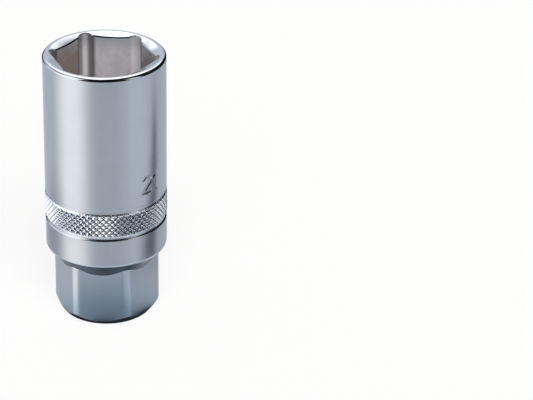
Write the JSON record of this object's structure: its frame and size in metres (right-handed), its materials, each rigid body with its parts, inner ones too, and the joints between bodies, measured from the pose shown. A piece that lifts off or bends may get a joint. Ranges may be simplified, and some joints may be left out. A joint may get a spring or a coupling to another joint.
{
  "type": "spark plug socket",
  "caption": "Deep spark plug socket: hexagonal mouth, knurled grip ring, wrench hexagon round a square drive, and a rubber sleeve inside that grips the plug.",
  "frame": {"origin": "centre of the drive end's face, which is the lowest point of the standing socket", "axes": "+Z along the socket's axis from the drive end to the mouth; flats of both hexagons and of the square face +Y and -Y"},
  "size_m": [0.0282, 0.0282, 0.064],
  "materials": {
    "plated_steel": "satin chrome plate over turned and broached steel",
    "grip_rubber": "matte moulded black rubber"
  },
  "bodies": {
    "root": {"socket_body": "plated_steel", "plug_grip_sleeve": "grip_rubber"}
  },
  "joints": []
}
